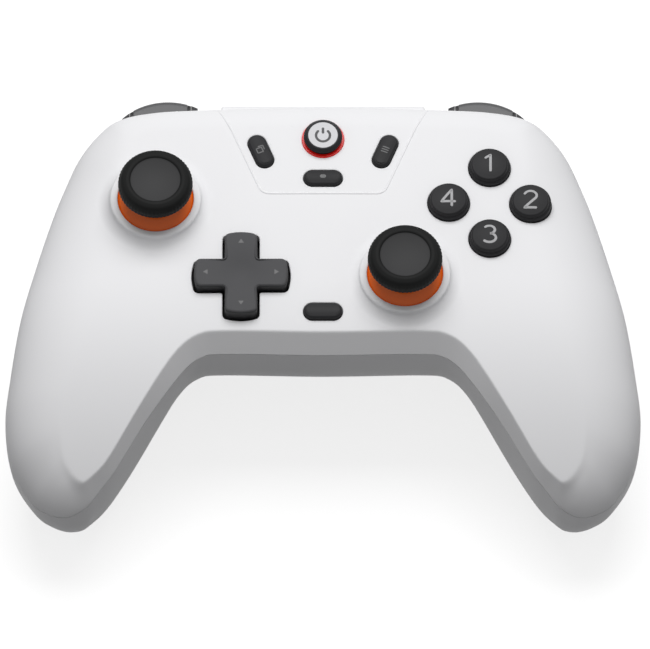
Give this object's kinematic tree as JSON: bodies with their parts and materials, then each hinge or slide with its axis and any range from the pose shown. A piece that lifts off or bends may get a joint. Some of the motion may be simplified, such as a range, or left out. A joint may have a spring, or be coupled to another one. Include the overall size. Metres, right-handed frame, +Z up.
{
  "type": "gamepad controller",
  "caption": "Two-grip gamepad with offset thumbsticks on crossed rockers, a cross-shaped direction pad, round face buttons, pill buttons, bumpers and sprung triggers.",
  "frame": {"origin": "middle of the plan on the rest plane, under the battery hump", "axes": "+X to the player's right, +Y away from the player towards the shoulders, +Z up out of the face"},
  "size_m": [0.155, 0.11, 0.0559],
  "materials": {
    "shell_white": "fine matte moulded",
    "control_dark": "satin",
    "cap_rubber": "matte",
    "dome_orange": "gloss",
    "ring_red": "lit translucent",
    "disc_grey": "satin",
    "inner_black": "moulded",
    "gimbal_white": "moulded",
    "steel": "bright",
    "board_green": "solder mask",
    "cell_wrap": "foil pouch",
    "mat_rubber": "silicone"
  },
  "bodies": {
    "case": {"front_shell": "shell_white", "back_shell": "shell_white", "top_bridge": "shell_white", "bumper_switches": "steel", "dpad_post": "inner_black", "dpad_mat": "mat_rubber", "face_button_mat": "mat_rubber", "home_light_ring": "ring_red", "push_switches": "steel", "main_board": "board_green", "usb_port": "steel", "battery": "cell_wrap", "case_screws": "steel", "board_screws": "steel", "shoulder_bracket_left": "control_dark", "bumper_pin_left": "steel", "trigger_pin_left": "steel", "trigger_spring_left": "steel", "stick_housing_left": "steel", "motor_left": "steel", "shoulder_bracket_right": "control_dark", "bumper_pin_right": "steel", "trigger_pin_right": "steel", "trigger_spring_right": "steel", "stick_housing_right": "steel", "motor_right": "steel"},
    "bumper_left": {"bumper_left": "control_dark"},
    "trigger_left": {"trigger_left": "control_dark"},
    "motor_weight_left": {"motor_weight_left": "steel"},
    "stick_rocker_left": {"stick_rocker_left": "gimbal_white"},
    "stick_bail_left": {"stick_bail_left": "gimbal_white"},
    "stick_shaft_left": {"stick_shaft_left": "inner_black"},
    "thumbstick_left": {"stick_dome_left": "dome_orange", "stick_cap_left": "cap_rubber"},
    "bumper_right": {"bumper_right": "control_dark"},
    "trigger_right": {"trigger_right": "control_dark"},
    "motor_weight_right": {"motor_weight_right": "steel"},
    "stick_rocker_right": {"stick_rocker_right": "gimbal_white"},
    "stick_bail_right": {"stick_bail_right": "gimbal_white"},
    "stick_shaft_right": {"stick_shaft_right": "inner_black"},
    "thumbstick_right": {"stick_dome_right": "dome_orange", "stick_cap_right": "cap_rubber"},
    "dpad_pivot": {"dpad_pivot": "inner_black"},
    "dpad": {"dpad": "control_dark"},
    "face_button_top": {"face_button_top": "control_dark"},
    "face_button_right": {"face_button_right": "control_dark"},
    "face_button_bottom": {"face_button_bottom": "control_dark"},
    "face_button_left": {"face_button_left": "control_dark"},
    "home_button": {"home_button": "control_dark", "home_disc": "disc_grey"},
    "view_button": {"view_button": "control_dark"},
    "menu_button": {"menu_button": "control_dark"},
    "capture_button": {"capture_button": "control_dark"},
    "mode_button": {"mode_button": "control_dark"}
  },
  "joints": [
    {"name": "stick_left_tilt_y", "type": "hinge", "parent": "case", "child": "stick_rocker_left", "pos_m": [-0.0409, 0.02007, 0.0353], "axis": [1, 0, 0], "range_deg": [-18, 18], "stiffness_Nm_per_rad": 0.06},
    {"name": "stick_left_tilt_x", "type": "hinge", "parent": "stick_rocker_left", "child": "stick_shaft_left", "pos_m": [-0.0409, 0.02007, 0.0353], "axis": [0, 1, 0], "range_deg": [-18, 18], "stiffness_Nm_per_rad": 0.06},
    {"name": "stick_left_bail", "type": "hinge", "parent": "case", "child": "stick_bail_left", "pos_m": [-0.0409, 0.02007, 0.0353], "axis": [0, 1, 0], "range_deg": [-18, 18]},
    {"name": "stick_left_click", "type": "slide", "parent": "stick_shaft_left", "child": "thumbstick_left", "axis": [0, 0, -1], "range_m": [0, 0.0005], "stiffness_N_per_m": 3000, "springref_m": -0.0005},
    {"name": "stick_right_tilt_y", "type": "hinge", "parent": "case", "child": "stick_rocker_right", "pos_m": [0.02, -0.00103, 0.0353], "axis": [1, 0, 0], "range_deg": [-18, 18], "stiffness_Nm_per_rad": 0.06},
    {"name": "stick_right_tilt_x", "type": "hinge", "parent": "stick_rocker_right", "child": "stick_shaft_right", "pos_m": [0.02, -0.00103, 0.0353], "axis": [0, 1, 0], "range_deg": [-18, 18], "stiffness_Nm_per_rad": 0.06},
    {"name": "stick_right_bail", "type": "hinge", "parent": "case", "child": "stick_bail_right", "pos_m": [0.02, -0.00103, 0.0353], "axis": [0, 1, 0], "range_deg": [-18, 18]},
    {"name": "stick_right_click", "type": "slide", "parent": "stick_shaft_right", "child": "thumbstick_right", "axis": [0, 0, -1], "range_m": [0, 0.0005], "stiffness_N_per_m": 3000, "springref_m": -0.0005},
    {"name": "dpad_rock_y", "type": "hinge", "parent": "case", "child": "dpad_pivot", "pos_m": [-0.02, -0.00103, 0.04144], "axis": [1, 0, 0], "range_deg": [-4.5, 4.5], "stiffness_Nm_per_rad": 0.08},
    {"name": "dpad_rock_x", "type": "hinge", "parent": "dpad_pivot", "child": "dpad", "pos_m": [-0.02, -0.00103, 0.04144], "axis": [0, 1, 0], "range_deg": [-4.5, 4.5], "stiffness_Nm_per_rad": 0.08},
    {"name": "face_button_top_press", "type": "slide", "parent": "case", "child": "face_button_top", "axis": [0, 0, -1], "range_m": [0, 0.0015], "stiffness_N_per_m": 400, "springref_m": -0.001},
    {"name": "face_button_right_press", "type": "slide", "parent": "case", "child": "face_button_right", "axis": [0, 0, -1], "range_m": [0, 0.0015], "stiffness_N_per_m": 400, "springref_m": -0.001},
    {"name": "face_button_bottom_press", "type": "slide", "parent": "case", "child": "face_button_bottom", "axis": [0, 0, -1], "range_m": [0, 0.0015], "stiffness_N_per_m": 400, "springref_m": -0.001},
    {"name": "face_button_left_press", "type": "slide", "parent": "case", "child": "face_button_left", "axis": [0, 0, -1], "range_m": [0, 0.0015], "stiffness_N_per_m": 400, "springref_m": -0.001},
    {"name": "home_button_press", "type": "slide", "parent": "case", "child": "home_button", "axis": [0, 0, -1], "range_m": [0, 0.0006], "stiffness_N_per_m": 1500, "springref_m": -0.0006},
    {"name": "view_button_press", "type": "slide", "parent": "case", "child": "view_button", "axis": [0, 0, -1], "range_m": [0, 0.0006], "stiffness_N_per_m": 1500, "springref_m": -0.0006},
    {"name": "menu_button_press", "type": "slide", "parent": "case", "child": "menu_button", "axis": [0, 0, -1], "range_m": [0, 0.0006], "stiffness_N_per_m": 1500, "springref_m": -0.0006},
    {"name": "capture_button_press", "type": "slide", "parent": "case", "child": "capture_button", "axis": [0, 0, -1], "range_m": [0, 0.0006], "stiffness_N_per_m": 1500, "springref_m": -0.0006},
    {"name": "mode_button_press", "type": "slide", "parent": "case", "child": "mode_button", "axis": [0, 0, -1], "range_m": [0, 0.0006], "stiffness_N_per_m": 1500, "springref_m": -0.0006},
    {"name": "bumper_left_press", "type": "hinge", "parent": "case", "child": "bumper_left", "pos_m": [0, 0.03937, 0.0362], "axis": [-1, 0, 0], "range_deg": [0, 4.5], "stiffness_Nm_per_rad": 0.15, "springref_deg": -3.44},
    {"name": "trigger_left_pull", "type": "hinge", "parent": "case", "child": "trigger_left", "pos_m": [0, 0.04017, 0.0275], "axis": [-1, 0, 0], "range_deg": [0, 18], "stiffness_Nm_per_rad": 0.05, "springref_deg": -14.32},
    {"name": "motor_weight_left_spin", "type": "hinge", "parent": "case", "child": "motor_weight_left", "pos_m": [-0.0565, -0.02203, 0.021], "axis": [0, 1, 0], "continuous": true},
    {"name": "bumper_right_press", "type": "hinge", "parent": "case", "child": "bumper_right", "pos_m": [0, 0.03937, 0.0362], "axis": [-1, 0, 0], "range_deg": [0, 4.5], "stiffness_Nm_per_rad": 0.15, "springref_deg": -3.44},
    {"name": "trigger_right_pull", "type": "hinge", "parent": "case", "child": "trigger_right", "pos_m": [0, 0.04017, 0.0275], "axis": [-1, 0, 0], "range_deg": [0, 18], "stiffness_Nm_per_rad": 0.05, "springref_deg": -14.32},
    {"name": "motor_weight_right_spin", "type": "hinge", "parent": "case", "child": "motor_weight_right", "pos_m": [0.0565, -0.02203, 0.021], "axis": [0, 1, 0], "continuous": true}
  ],
  "couplings": [
    {"joint": "stick_left_bail", "follows": "stick_left_tilt_x", "ratio": 1},
    {"joint": "stick_right_bail", "follows": "stick_right_tilt_x", "ratio": 1}
  ]
}
